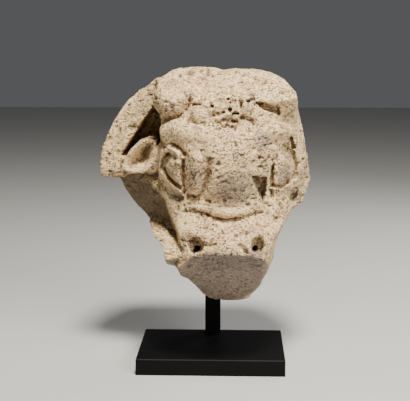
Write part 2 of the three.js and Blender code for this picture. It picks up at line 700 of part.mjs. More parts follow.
const pieces = { bull_head: bullHead(), support_bar: supportBar(), base_block: baseBlock() };
const model = new THREE.Group();
for (const [name, mesh] of Object.entries(pieces)) {
  mesh.name = name;
  model.add(mesh);
}

export default model;
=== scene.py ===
from math import radians

import bpy
import numpy as np
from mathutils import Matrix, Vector


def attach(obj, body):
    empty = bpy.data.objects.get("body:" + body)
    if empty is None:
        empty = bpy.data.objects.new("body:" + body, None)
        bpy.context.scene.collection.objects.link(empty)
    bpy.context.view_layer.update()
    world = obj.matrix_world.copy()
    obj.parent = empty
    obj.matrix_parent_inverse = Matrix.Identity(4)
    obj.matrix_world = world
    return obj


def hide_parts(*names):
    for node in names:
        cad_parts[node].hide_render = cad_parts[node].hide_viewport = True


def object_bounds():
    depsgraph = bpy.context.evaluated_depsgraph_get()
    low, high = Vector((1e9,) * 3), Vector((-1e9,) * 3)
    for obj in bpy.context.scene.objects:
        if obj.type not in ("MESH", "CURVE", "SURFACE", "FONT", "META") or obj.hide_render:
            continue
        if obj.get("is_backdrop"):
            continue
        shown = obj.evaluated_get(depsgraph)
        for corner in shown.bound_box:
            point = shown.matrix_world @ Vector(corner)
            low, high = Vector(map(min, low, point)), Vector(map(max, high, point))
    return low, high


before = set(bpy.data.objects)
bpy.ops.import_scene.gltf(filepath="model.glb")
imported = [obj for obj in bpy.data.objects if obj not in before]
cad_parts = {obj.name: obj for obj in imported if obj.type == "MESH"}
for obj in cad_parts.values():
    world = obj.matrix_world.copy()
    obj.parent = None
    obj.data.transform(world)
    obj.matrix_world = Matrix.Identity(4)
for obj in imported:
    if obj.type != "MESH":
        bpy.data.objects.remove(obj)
cad_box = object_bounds()

# The stone, in metres. It is carved in parts of its own height, a hundred from chin to crown: x across
# from the middle of the face, y back from the bar's axis, z up from the chin.
HEAD_HEIGHT = 0.280
PART = HEAD_HEIGHT / 100
FACE_ORIGIN = (0.0195, 0.055, 0.085)
# The grid that the stone is worked out on: the room round it, the width of a cell, the cells along the side
# of a block that is tried as one, and how many of its widths from the surface a block is worked out in full
MARGIN = 3.4
CELL = 0.42
BLOCK = 3
NEAR_BLOCKS = 2.4
MOST_TRIANGLES = 190000

# The face's middle line, as height and place in depth
PROFILE = [
    (-6, -20), (0, -27.5), (12, -42.5), (24, -57), (26, -59.4), (28, -59.8), (31, -58.8), (35, -54.8),
    (39, -49.4), (44.6, -46.6), (50, -48.2), (57, -50.6), (66, -51.8), (72, -50.2), (77, -46.8), (83, -43.8),
    (88.8, -40.6), (97, -28.5), (104, -18),
]
# Half widths of the face, and how far its sides drop back, by height
HALF_LEFT = [
    (-4, 9), (0, 11), (6, 15.8), (13, 20.4), (18, 23.2), (28, 22.4), (36, 24.4), (44, 27.3), (57, 29.8),
    (66, 30), (76, 28.5), (90, 29.5), (104, 30),
]
HALF_RIGHT = [
    (-4, 9), (0, 11), (6, 15.5), (18, 20.5), (28, 22), (36, 26), (44, 31), (52, 35), (60, 34.5),
    (70, 33), (80, 31), (90, 30.5), (104, 30),
]
DROP_LEFT = [(0, 8), (18, 12), (30, 12), (44, 15), (57, 18), (70, 16), (80, 12), (88, 3), (104, 2)]
DROP_RIGHT = [(0, 8), (18, 9), (30, 11), (44, 19), (52, 27), (60, 26), (70, 24), (80, 17), (88, 4), (104, 3)]
# The broken edge of the whole stone, seen from the front
OUTLINE = [
    (-31, 95.6), (-37.2, 91), (-43, 87), (-49.6, 77.7), (-54.8, 66), (-56, 55), (-54.6, 52.8), (-50, 50.4),
    (-44.4, 41), (-37.4, 34.4), (-31.9, 29), (-28.8, 27.2), (-26.6, 24.8), (-25, 19.8), (-21.6, 18.6),
    (-20.1, 12.4), (-16.4, 11), (-13, 5.6), (-11.4, 2), (-8, -1.6), (9.5, -1.6), (14, 4.4), (15.6, 10.5),
    (19.4, 18), (21.4, 24.5), (24, 32), (28, 38.6), (32.6, 42), (34, 46.4), (36, 52.8), (33, 69.7), (30, 84),
    (28.6, 90), (24.4, 95), (19, 98), (11, 99.6), (3, 99.6), (-2, 98.8), (-5.6, 99.8), (-12.6, 100.6),
    (-20, 99.9), (-24.6, 98.6), (-28.6, 96),
]
WALL_FRONT = -22
WALL_BACK = 9
SHELF_LEVEL = 52.8
SHELF_RISE = 5
EAR = [
    (-45.6, 57.8), (-44.2, 62), (-41.6, 65.8), (-38, 69.2), (-34.2, 70.4), (-30.4, 69.4), (-30.6, 65.4),
    (-31.4, 61), (-33.4, 57.4), (-36.6, 55.4), (-42.8, 55.2),
]
POCKET = [
    (-31.8, 84.6), (-38.8, 75), (-46.8, 62.4), (-40, 61.6), (-31.5, 62.6), (-28.8, 65), (-28.4, 70),
    (-28.6, 78),
]
LEFT_EYE = [
    (-22.9, 64.4), (-20.4, 62.6), (-19.2, 58), (-19.2, 51.8), (-22.2, 53.2), (-25.2, 55.8), (-26.4, 59.4),
    (-25.2, 62.8),
]
RIGHT_EYE = [
    (22.4, 64.8), (19.6, 62), (18.9, 57), (19.6, 52.6), (22.6, 51.3), (25.6, 53.4), (27, 57.4), (25.8, 62.2),
]
# Hollows: the notch by the nose, the slot drilled beside the forehead, and the one under the right horn
WEDGE = [(9.2, 57.4), (16.8, 56.2), (16.6, 50), (15.2, 43), (12.2, 49.4)]
SLOT = [(25.8, 72), (27.4, 71.7), (29.1, 66.6), (27, 66.6)]
UNDER_HORN = [(9.6, 87), (13.6, 86.8), (21.6, 84.6), (21.7, 80.9), (15, 83)]
# Ridges and cut grooves of the face, as height, half width and line. A groove's height is below zero.
MARKS = [
    (3, 2.2, [(-29.2, 56), (-28.9, 61), (-27.2, 65.6), (-23.9, 67.2), (-20.9, 65.6), (-19.7, 61.5)]),
    (-2.6, 1, [(-27.9, 58.8), (-27.1, 62.6), (-24.6, 65.2)]),
    (1.7, 2.6, [(-28.6, 58), (-27.6, 54.4), (-24.7, 51.4), (-19.8, 49.8)]),
    (-2.2, 1.4, [(-28.4, 69.8), (-24.6, 70.4), (-21, 68.8), (-17.4, 65.6)]),
    (-2.8, 0.9, [(-18.3, 62.6), (-18.2, 48.6)]),
    (-2.2, 0.9, [(-26.6, 58.4), (-25.2, 55), (-22, 52.2), (-19.4, 50.8)]),
    (1.3, 1.1, [(-27.6, 56.6), (-25.4, 53.2), (-22.2, 50.6), (-19.6, 49.4)]),
    (-2.4, 1.8, [(-24, 46.6), (-19.8, 46.2)]),
    (-1.8, 0.8, [(19.4, 52), (22.6, 51), (25.4, 52.6)]),
    (-1.4, 0.9, [(-26.8, 33.2), (-22.4, 32.2)]),
    (1.4, 1.2, [(-17.2, 32.6), (-15.4, 35), (-12.4, 36), (-8.8, 34.6), (-7.2, 32.6)]),
    (-1.6, 0.8, [(-9.2, 29.8), (-6.4, 29.6), (-4.2, 30.4)]),
    (-1.4, 0.8, [(-6.8, 35.2), (-5.8, 36.6)]),
    (-1.8, 1.8, [(5.4, 29.6), (7.4, 27.6)]),
    (2.8, 4.3, [(-12.3, 63.2), (-12.8, 51.4)]),
    (-2.4, 1.6, [(-7.3, 64), (-7.8, 57), (-9.5, 50.8), (-12.6, 47.6), (-16, 47.3)]),
    (-2.8, 1.5, [(23.6, 68.6), (27.4, 64.6), (28.9, 59.4), (28.4, 54.4)]),
    (1.8, 1.2, [(18.8, 50.6), (22.6, 49.8), (26.2, 51.6)]),
    (-2.8, 0.95, [(18.7, 60), (18.4, 47)]),
    (-1.8, 0.8, [(-16.1, 86.8), (-16.3, 84.9), (-17.1, 83.2)]),
    (-1.5, 0.8, [(-14, 85.6), (-11.2, 85.4), (-9.6, 84.6)]),
    (-1.6, 1.2, [(-4.2, 39.3), (0, 38.8), (5, 39.3)]),
    (-2.6, 2.2, [(-31, 79), (-25.6, 78.8), (-21, 80.8), (-18, 82.8), (-16.2, 87)]),
    (-1.6, 2.6, [(8, 91.5), (12.5, 88.6)]),
]
RIB = (3, 0.7, [(13.1, 57.6), (13.9, 53.4)])
# Knobs of hair on the poll, and the drilled pits among them, as place across, height and two radii
KNOBS = [
    (-3.4, 84.6, 3.4, 2.3), (-0.8, 85.4, 2.2, 2), (3, 84.4, 2.3, 2.6), (8, 83.6, 2.9, 3.3),
    (6.8, 88, 2.1, 1.5), (10.2, 87.6, 1.6, 1.7), (0.3, 87.9, 1.9, 1.4), (-6.4, 87.2, 2.2, 1.9),
    (-0.2, 81.7, 2.1, 1.6), (4.2, 80.6, 2.2, 1.7), (-3.4, 80, 1.8, 1.1), (-8.8, 85.6, 1.9, 1.8),
    (2, 78.1, 2.1, 1), (-1.4, 78, 1.3, 0.9), (10.4, 80.8, 1.5, 1.3), (-7.2, 83.4, 1.6, 1.7),
]
PITS = [
    (-5.7, 81.1, 1.1, 0.9), (-4, 82.3, 0.8, 0.7), (-1.5, 79.6, 1.2, 0.9), (-3.5, 78.5, 1.1, 0.6),
    (2.6, 79, 1.8, 0.8), (6.2, 80.4, 1.4, 1.4), (9.9, 79.6, 1, 0.8), (3.6, 82.1, 1.6, 0.5),
    (0.3, 87.9, 0.7, 0.6), (10.2, 87.7, 0.6, 0.6), (1.2, 83.4, 0.6, 1.1), (5.5, 85.6, 0.6, 1.8),
    (-1.6, 82.5, 0.9, 0.5), (3.2, 87.2, 0.9, 0.6), (-3.2, 87.6, 0.9, 0.6), (8.4, 86.8, 0.9, 0.5),
    (-6.4, 85, 0.7, 0.6),
]
# The brow from the temple to the nose, and the fold over the nose, as place across, depth, height and radius
BROW = [(24.6, -36.4, 73.6, 4.5), (19.4, -40.6, 74.8, 5.1), (12.4, -45, 73, 3.9), (8, -47.2, 72, 2.4)]
FOLD = [
    (-15.5, -44.6, 43.6, 0.5), (-10, -47.2, 43.2, 1.3), (-5, -48.8, 42.2, 1.9), (0, -49.4, 41.6, 2.3),
    (5, -48.9, 42, 2), (10, -47.4, 42.6, 1.2), (15, -44.8, 42.4, 0.5),
]
# The nostrils: the hollow's place across, height and two radii, then the place and height of the hole in it
NOSTRILS = [(-13.1, 29.6, 3.9, 3.7, -12.6, 28.2), (12.9, 29.5, 3.1, 4, 12, 28.4)]
# Broken faces, as a direction outwards and a point on each: the flank below the ear, the ledge under it,
# the jaw, the top of the poll and those of the back
FLANK = ((-0.719, -0.547, -0.431), (-27, -30, 44))
LEDGE = ((-0.1, -0.23, 0.97), (-20, -28.9, 31))
JAW = ((-0.45, -0.75, 0.48), (-20, -50, 26))
CROWN = ((0.02, -0.55, 0.83), (0, -39.5, 90))
BACK_BREAKS = [
    ((0.03, 1, -0.02), (0, WALL_BACK, 50)),
    ((0, 0.72, 0.69), (0, 4, 94)),
    ((-0.8, 0.57, 0.2), (-48, 1, 70)),
    ((0.78, 0.62, 0.05), (29, 4, 60)),
    ((0.1, 0.5, -0.86), (0, 8, 8)),
    ((-0.55, 0.62, -0.56), (-36, 4, 28)),
]


def rise(low, high, value):
    """0 at low, 1 at high, with a smooth step between."""
    t = np.clip((value - low) / (high - low), 0, 1)
    return t * t * (3 - 2 * t)


# Distances are negative inside the stone. join, cut and meet combine two of them with a rounding of k.
def join(a, b, k):
    h = np.clip(0.5 + 0.5 * (b - a) / k, 0, 1)
    return b + (a - b) * h - k * h * (1 - h)


def cut(a, b, k):
    return -join(-a, b, k)


def meet(a, b, k):
    return -join(-a, -b, k)


def through(pairs, place):
    """A smooth curve through pairs of place and value."""
    at, value = np.array(pairs, float).T
    slope = np.diff(value) / np.diff(at)
    bend = np.concatenate([slope[:1], (slope[1:] + slope[:-1]) / 2, slope[-1:]])
    bend[1:-1][slope[1:] * slope[:-1] <= 0] = 0
    place = np.clip(place, at[0], at[-1])
    i = np.clip(np.searchsorted(at, place, side="left") - 1, 0, len(at) - 2)
    width = at[i + 1] - at[i]
    u = (place - at[i]) / width
    v = 1 - u
    start = (1 + 2 * u) * v * v * value[i] + u * v * v * width * bend[i]
    return start + u * u * (3 - 2 * u) * value[i + 1] - u * u * v * width * bend[i + 1]


def stroke(x, z, line):
    """Distance in the face's plane to an open line."""
    nearest = np.full(x.shape, np.inf)
    for (ax, az), (bx, bz) in zip(line, line[1:]):
        ex, ez = bx - ax, bz - az
        t = np.clip(((x - ax) * ex + (z - az) * ez) / (ex * ex + ez * ez), 0, 1)
        nearest = np.minimum(nearest, np.hypot(x - ax - ex * t, z - az - ez * t))
    return nearest


def polygon(corners, x, z):
    """Distance in the face's plane to a closed line, negative inside it."""
    closed = corners + corners[:1]
    nearest = stroke(x, z, closed)
    inside = np.zeros(x.shape, bool)
    for (ax, az), (bx, bz) in zip(closed, closed[1:]):
        if az != bz:
            inside ^= ((az > z) != (bz > z)) & (x < ax + (bx - ax) * (z - az) / (bz - az))
    return np.where(inside, -nearest, nearest)


def ellipsoid(x, y, z, centre, radii):
    dx, dy, dz = ((v - c) / r for v, c, r in zip((x, y, z), centre, radii))
    near = np.sqrt(dx * dx + dy * dy + dz * dz)
    steep = np.sqrt((dx / radii[0]) ** 2 + (dy / radii[1]) ** 2 + (dz / radii[2]) ** 2)
    return near * (near - 1) / np.maximum(steep, 1e-6)


def rod(x, y, z, a, b, ra, rb):
    """A rod with round ends from a to b, its radius going from ra to rb."""
    ex, ey, ez = (b[i] - a[i] for i in range(3))
    t = ((x - a[0]) * ex + (y - a[1]) * ey + (z - a[2]) * ez) / (ex * ex + ey * ey + ez * ez)
    t = np.clip(t, 0, 1)
    far = np.sqrt((x - a[0] - ex * t) ** 2 + (y - a[1] - ey * t) ** 2 + (z - a[2] - ez * t) ** 2)
    return far - ra - (rb - ra) * t


def chain(x, y, z, beads):
    """Rods through beads that are given as place across, depth, height and radius."""
    nearest = np.full(y.shape, np.inf, np.float32)
    for a, b in zip(beads, beads[1:]):
        nearest = np.minimum(nearest, rod(x, y, z, a, b, a[3], b[3]))
    return nearest


def plane(x, y, z, normal, point):
    """Distance above a plane through a point, positive on the side of its normal."""
    n = np.array(normal, float) / np.linalg.norm(normal)
    return (x - point[0]) * n[0] + (y - point[1]) * n[1] + (z - point[2]) * n[2]


def ridge(far, width):
    """1 on a line, falling to 0 at its width."""
    return np.clip(1 - (far / width) ** 2, 0, 1) ** 1.5


def bulge(inside, reach):
    """0 at an edge, rising steeply and then rounding off to 1 at its reach inside."""
    return np.sqrt(np.clip(1 - (1 - np.clip(inside / reach, 0, 1)) ** 2, 0, 1))


def face_relief(x, z):
    """How far the eyes, the folds round them and the cut marks stand out."""
    relief = 3.6 * bulge(-polygon(LEFT_EYE, x, z), 3) + 2.9 * bulge(-polygon(RIGHT_EYE, x, z), 3.6)
    for height, width, line in MARKS:
        relief += height * ridge(stroke(x, z, line), width)
    height, width, line = RIB
    hollow = 4.6 * rise(0, 1.3, -polygon(WEDGE, x, z)) - height * ridge(stroke(x, z, line), width)
    return relief - np.maximum(hollow, 0)


def face_depth(x, z, half, drop):
    """How far back the carved front of the face lies."""
    across = abs(x)
    level = rise(43, 50, z) * (1 - rise(66, 74, z))
    bridge = -1.8 * level * rise(7.4, 10.4, across)
    socket = -2.4 * ridge(np.hypot((across - 22.5) / 9, (z - 60) / 13), 1)
    lip_drop = 6.5 * (across / 19) ** 4 * (1 - rise(24, 34, z))
    curve = through(PROFILE, z + lip_drop) + drop * (across / half) ** 2.6
    return curve - bridge - socket - face_relief(x, z)


def columns(x, z):
    """What depends only on the place across and the height."""
    left = x < 0
    half = np.where(left, through(HALF_LEFT, z), through(HALF_RIGHT, z))
    drop = np.where(left, through(DROP_LEFT, z), through(DROP_RIGHT, z))
    fields = {
        "x": x,
        "z": z,
        "half": half,
        "underside": through(PROFILE, z) + 4,
        "front": face_depth(x, z, half, drop),
        "edge": polygon(OUTLINE, x, z),
        "pocket": polygon(POCKET, x, z),
        "slot": polygon(SLOT, x, z),
        "under_horn": polygon(UNDER_HORN, x, z),
        "ear": polygon(EAR, x, z),
    }
    return {name: field.astype(np.float32) for name, field in fields.items()}


def unevenness(x, y, z):
    """Slow unevenness of the broken faces."""
    across = np.sin(0.33 * x + 1.7 * np.sin(0.21 * z) + 0.11 * y)
    return 0.6 * across * np.sin(0.29 * z + 1.1 * np.sin(0.19 * x) + 0.25 * y + 1)


def face_and_horns(place, y, uneven):
    """The front of the head with its brows, the dent over the right eye and the stumps of the horns."""
    x, z = place["x"], place["z"]
    side = abs(x) - place["half"] - 0.15 * (y + np.where(x < 0, 30, 25))
    stone = meet((place["front"] - y) * 0.72, side * 0.95 + 0.5 * uneven, 2.6)
    for hand, heavy in ((-1, 1), (1, 0.8)):
        beads = [(hand * across, deep, up, radius * heavy) for across, deep, up, radius in BROW]
        stone = join(stone, chain(x, y, z, beads), 1.4)
    stone = cut(stone, ellipsoid(x, y, z, (14.8, -49.6, 69.6), (4.6, 2.6, 6.4)), 0.8)
    stone = join(stone, ellipsoid(x, y, z, (-22.8, -30, 87.6), (9, 13.6, 9)), 0.9)
    stone = join(stone, ellipsoid(x, y, z, (20.4, -30.4, 91.2), (11, 14.2, 8.2)), 3)
    stone = meet(stone, plane(x, y, z, *CROWN) + 0.8 * uneven, 0.7)
    return cut(stone, meet(place["under_horn"], abs(y + 45) - 8, 0.6), 0.5)


def wall(place, y, uneven):
    """The wall that the head grew from, with the flank cut back between the shelf and a lower ledge."""
    x, z = place["x"], place["z"]
    shelf = SHELF_LEVEL + SHELF_RISE * rise(-46, -38, x)
    flank = plane(x, y, z, *FLANK) + 0.8 * uneven
    ledge = plane(x, y, z, *LEDGE) + 0.5 * uneven
    jaw = plane(x, y, z, *JAW) + 0.5 * uneven
    lower = meet(meet(jaw, place["underside"] - y, 1.5), meet(z - shelf, x + 7, 1), 0.6)
    recess = meet(meet(-flank, z - shelf + 0.5 * uneven, 1), -ledge, 3)
    return cut(np.minimum(WALL_FRONT - y, lower), recess, 1.2)


def ear_and_pocket(stone, place, y):
    """The ear with its hollow, and the recess between it and the piece of wall."""
    x, z, ear = place["x"], place["z"], place["ear"]
    front = -30 + 0.16 * (-38 - x)
    root = rod(x, y, z, (-33.5, -25.5, 58.6), (-27, -28.5, 64), 4, 4.4)
    leaf = meet(meet(ear, front - y, 0.5), y + 14 + 0.4 * ear, 1)
    stone = cut(stone, meet(place["pocket"], y + 4, 1.5), 0.8)
    stone = join(join(stone, root, 2), leaf, 0.8)
    deep = 5 + 6 * rise(-41, -33, x) * rise(56, 65, z)
    floor = front + deep * rise(0, 4.2, -(ear + 1))
    return cut(stone, meet(ear + 1, y - floor, 0.4), 0.3)


def hair(stone, place, y):
    """The knobs of hair on the poll, the drilled pits, and the lump at their left."""
    x, z = place["x"], place["z"]
    for across, height, wide, tall in KNOBS:
        centre = (across, through(PROFILE, height) - 0.8, height)
        stone = join(stone, ellipsoid(x, y, z, centre, (wide, 0.42 * (wide + tall), tall)), 0.4)
    for across, height, wide, tall in PITS:
        centre = (across, through(PROFILE, height) - 2.4, height)
        stone = cut(stone, ellipsoid(x, y, z, centre, (wide, 3.4, tall)), 0.3)
    return join(stone, ellipsoid(x, y, z, (-11, -42.8, 81), (4, 3.6, 4.2)), 0.6)


def muzzle(stone, place, y):
    """The fold over the nose, and the nostrils with the rims above them."""
    x, z = place["x"], place["z"]
    stone = join(stone, chain(x, y, z, FOLD), 0.5)
    for across, height, wide, tall, hole_across, hole_height in NOSTRILS:
        hand = np.sign(across)
        tip = (across, -54.4, height + 4.4)
        stone = join(stone, rod(x, y, z, (across + hand * 4.2, -51, height - 1), tip, 1.6, 2.3), 1.2)
        stone = join(stone, rod(x, y, z, tip, (across - hand * 5.2, -57, height + 1.6), 2.3, 1.5), 1.2)
        stone = cut(stone, ellipsoid(x, y, z, (across, -57.4, height), (wide, 5, tall)), 0.6)
        hole = (hole_across, -62, hole_height), (hole_across - hand, -44, hole_height - 1.4)
        stone = cut(stone, rod(x, y, z, *hole, 1.4, 1), 0.6)
    return stone


def only_near(form, stone, place, y, low, high):
    """Applies a local form inside its own box, because it changes nothing outside."""
    near = np.ones(y.shape, bool)
    for value, least, greatest in zip((place["x"], y, place["z"]), low, high):
        near &= (value > least) & (value < greatest)
    stone = stone.copy()
    stone[near] = form(stone[near], {name: field[near] for name, field in place.items()}, y[near])
    return stone


def stone_at(place, y):
    """Distance from each sample to the stone's surface."""
    x, z = place["x"], place["z"]
    uneven = unevenness(x, y, z)
    stone = join(face_and_horns(place, y, uneven), wall(place, y, uneven), 1.2)
    stone = meet(stone, place["edge"] + 0.6 * uneven, 1)
    for normal, point in BACK_BREAKS:
        stone = meet(stone, plane(x, y, z, normal, point) + uneven, 1.2)
    stone = only_near(ear_and_pocket, stone, place, y, (-60, -40, 48), (-22, 0, 92))
    stone = only_near(hair, stone, place, y, (-20, -63, 74), (20, -34, 93))
    stone = only_near(muzzle, stone, place, y, (-40, -63, 20), (40, -38, 48))
    stone = cut(stone, meet(place["slot"], abs(y + 36) - 5, 0.2), 0.2)
    return cut(stone, ellipsoid(x, y, z, (29.4, -31, 46), (3, 5.4, 3.9)), 0.6)


def sample_stone():
    """The stone's distances on a fine grid, worked out in full only near the surface."""
    (across, up), (_, deep) = np.transpose(OUTLINE), np.transpose(PROFILE)
    limits = ((min(across), max(across)), (min(deep), WALL_BACK), (min(up), max(up)))
    reach = MARGIN + CELL * BLOCK
    axes = [np.arange(low - MARGIN, high + reach, CELL, dtype=np.float32) for low, high in limits]
    axes = [axis[: len(axis) // BLOCK * BLOCK] for axis in axes]
    fine = columns(*np.meshgrid(axes[0], axes[2], indexing="ij"))
    middle = slice(BLOCK // 2, None, BLOCK)
    coarse = {name: field[middle, middle][:, None, :] for name, field in fine.items()}
    shape = tuple(len(axis[middle]) for axis in axes)
    coarse = {name: np.ascontiguousarray(np.broadcast_to(field, shape)) for name, field in coarse.items()}
    y = np.ascontiguousarray(np.broadcast_to(axes[1][middle][None, :, None], shape))
    rough = stone_at(coarse, y).astype(np.float32)
    for axis in range(3):
        rough = np.repeat(rough, BLOCK, axis)
    near = np.abs(rough) < NEAR_BLOCKS * BLOCK * CELL
    i, j, k = np.nonzero(near)
    rough[near] = stone_at({name: field[i, k] for name, field in fine.items()}, axes[1][j])
    return axes, rough


def corners_of(shape):
    """The grid's slices for the eight corners of each cell, with the corner's offset."""
    for corner in np.ndindex(2, 2, 2):
        yield corner, tuple(slice(c, size - 1 + c) for c, size in zip(corner, shape))


def whole_patterns():
    """For each pattern of a cell's corners, whether the solid ones and the empty ones each hang together."""

    def together(pattern):
        reached = pattern & -pattern
        for _ in range(8):
            for corner in range(8):
                if reached >> corner & 1:
                    reached |= sum(1 << (corner ^ side) for side in (1, 2, 4)) & pattern
        return reached == pattern

    return np.array([together(pattern) and together(255 - pattern) for pattern in range(256)])


def fill_pinches(values):
    """Fills the cells where the surface would touch itself at a point or an edge."""
    whole = whole_patterns()
    barely = -0.001
    while True:
        pattern = np.zeros([size - 1 for size in values.shape], np.uint8)
        for bit, (_, part) in enumerate(corners_of(values.shape)):
            pattern |= (values[part] < 0).astype(np.uint8) << bit
        pinched = np.nonzero(~whole[pattern])
        if not len(pinched[0]):
            return
        for corner in np.ndindex(2, 2, 2):
            at = tuple(p + c for p, c in zip(pinched, corner))
            values[at] = np.minimum(values[at], barely)


def skin(axes, values):
    """One point in each cell that the surface passes, and a quad across each grid edge that it cuts."""
    solid = values < 0
    count = sum(solid[part].astype(np.int8) for _, part in corners_of(values.shape))
    active = (count > 0) & (count < 8)
    number = np.full(active.shape, -1, np.int32)
    number[active] = np.arange(active.sum(), dtype=np.int32)
    cells = np.array(np.nonzero(active))
    total = np.zeros(cells.shape)
    crossings = np.zeros(cells.shape[1])
    for corner in np.ndindex(2, 2, 2):
        for axis in range(3):
            if corner[axis]:
                continue
            here = cells + np.array(corner)[:, None]
            there = here.copy()
            there[axis] += 1
            a, b = values[tuple(here)], values[tuple(there)]
            crossed = (a < 0) != (b < 0)
            share = np.where(crossed, a / np.where(crossed, a - b, 1), 0)
            for side in range(3):
                total[side] += crossed * (here[side] + (share if side == axis else 0))
            crossings += crossed
    points = np.array([axes[side][0] for side in range(3)]) + (total / crossings).T * CELL
    quads = []
    for axis in range(3):
        u, v = (axis + 1) % 3, (axis + 2) % 3
        inner = [slice(1, -1)] * 3
        inner[axis] = slice(0, -1)
        beyond = list(inner)
        beyond[axis] = slice(1, None)
        low, high = solid[tuple(inner)], solid[tuple(beyond)]
        for leaving in (True, False):
            edge = np.array(np.nonzero(low & ~high if leaving else high & ~low))
            edge[u] += 1
            edge[v] += 1
            ring = []
            for back_u, back_v in ((0, 0), (1, 0), (1, 1), (0, 1)):
                cell = edge.copy()
                cell[u] -= back_u
                cell[v] -= back_v
                ring.append(number[tuple(cell)])
            quads.append(np.stack(ring if leaving else ring[::-1], 1))
    return points, np.concatenate(quads)


class Grain:
    """Smooth noise from -1 to 1 on a repeating lattice of random values."""

    SIZE = 64

    def __init__(self, seed):
        lattice = np.random.default_rng(seed).random((self.SIZE,) * 3, dtype=np.float32)
        self.lattice = lattice * 2 - 1

    def __call__(self, points, lengths):
        place = points / np.array(lengths) + 100.5
        low = np.floor(place).astype(np.int64)
        t = place - low
        t = t * t * (3 - 2 * t)
        value = 0
        for corner in np.ndindex(2, 2, 2):
            weight = np.prod([t[:, a] if c else 1 - t[:, a] for a, c in enumerate(corner)], axis=0)
            index = tuple((low[:, a] + c) % self.SIZE for a, c in enumerate(corner))
            value = value + weight * self.lattice[index]
        return value


def sum_at(quads, vectors, count):
    """The sum, at each point, of the vectors of the quads round it."""
    total = np.zeros((count, 3))
    for corner in range(4):
        for axis in range(3):
            total[:, axis] += np.bincount(quads[:, corner], vectors[:, axis], count)
    return total


def normals_of(points, quads):
    """The skin's direction outwards at each point."""
    across = points[quads[:, 2]] - points[quads[:, 0]]
    along = points[quads[:, 3]] - points[quads[:, 1]]
    normals = sum_at(quads, np.cross(across, along), len(points))
    return normals / np.maximum(np.linalg.norm(normals, axis=1, keepdims=True), 1e-9)


def spot(points, centre, reach):
    """1 at the middle of a round patch, falling smoothly to 0 at its reach."""
    far = np.sqrt((((points - np.array(centre)) / np.array(reach)) ** 2).sum(axis=1))
    return 1 - rise(0.35, 1, far)


def most(points, patches):
    """1 in the middle of any of the patches, 0 outside all of them."""
    return np.max([spot(points, centre, reach) for centre, reach in patches], axis=0)


# How many rounds of smoothing give the level that hollows and edges are told by, for the painted shade in
# hollows and the painted highlight on edges
SMOOTHING = 24
# Patches of the stone, as middle and reach. These are hammered rough.
BRUISES = [
    ((14.6, -46, 71), (6.6, 9, 8.5)), ((-12.6, -48, 58), (4.6, 9, 6.4)), ((15, -44, 62), (4, 9, 6)),
    ((29.4, -30, 46), (4.5, 9, 5)), ((20, -40, 38), (4, 9, 6)), ((0, -44, 78), (8, 8, 3)),
]
# The carving stays finer in these
CARVED = [
    ((-37.5, -26, 62.5), (15, 18, 13)), ((-23.5, -36, 59), (9, 14, 13)), ((23.5, -35, 59), (9, 14, 12)),
    ((-20, -40, 74), (13, 12, 7)), ((0, -50, 42.5), (19, 9, 4)), ((-13, -57, 31), (7, 10, 7)),
    ((13, -57, 31), (7, 10, 7)), ((0, -44, 84), (16, 9, 7)), ((0, -42, 12), (26, 26, 16)),
    ((-12.6, -48, 56), (6, 9, 9)), ((15, -44, 53), (5, 9, 8)),
]
# These are coloured grey: some are grey stone, and those on the lower bridge, under the left horn and along
# the lip are painted shade
GREY_AND_SHADE_PATCHES = [
    ((3, -48, 51), (12, 9, 11)), ((-12.6, -48, 57), (4, 9, 5)), ((14.6, -46, 71), (5, 9, 6)),
    ((-3, -56, 26), (12, 9, 3)), ((12, -56, 26), (7, 9, 3)), ((23, -38, 56), (5, 9, 7)),
    ((-23, -40, 47), (6, 9, 4)), ((-24, -34, 84), (8, 12, 4)), ((29.4, -30, 46), (4.5, 9, 5)),
]
# These are stained pink or ochre
STAINS = [
    ((5, -47, 75), (8, 9, 6)), ((14, -50, 37), (7, 9, 6)), ((-13, -42, 84), (5, 8, 6)),
    ((1, -54, 34), (10, 8, 4)),
]


def turned(points, degrees):
    """The points turned about the y axis, for marks that run slantwise."""
    angle = np.radians(degrees)
    x, y, z = points.T
    return np.stack([x * np.cos(angle) + z * np.sin(angle), y, z * np.cos(angle) - x * np.sin(angle)], 1)


def shade_in_cuts(x, y, z):
    """Painted shade in the notch by the nose, the nostrils and the drilled pits of the hair."""
    dark = rise(-0.2, 1, -polygon(WEDGE, x, z))
    for across, height, wide, tall in PITS:
        dark = np.maximum(dark, rise(1.2, 0.5, np.hypot((x - across) / wide, (z - height) / tall)))
    for across, height, wide, tall, *_ in NOSTRILS:
        near = np.hypot((x - across) / wide, (z - height + 0.4) / tall)
        dark = np.maximum(dark, 0.75 * rise(0.85, 0.5, near))
    return dark * rise(-34, -38, y)


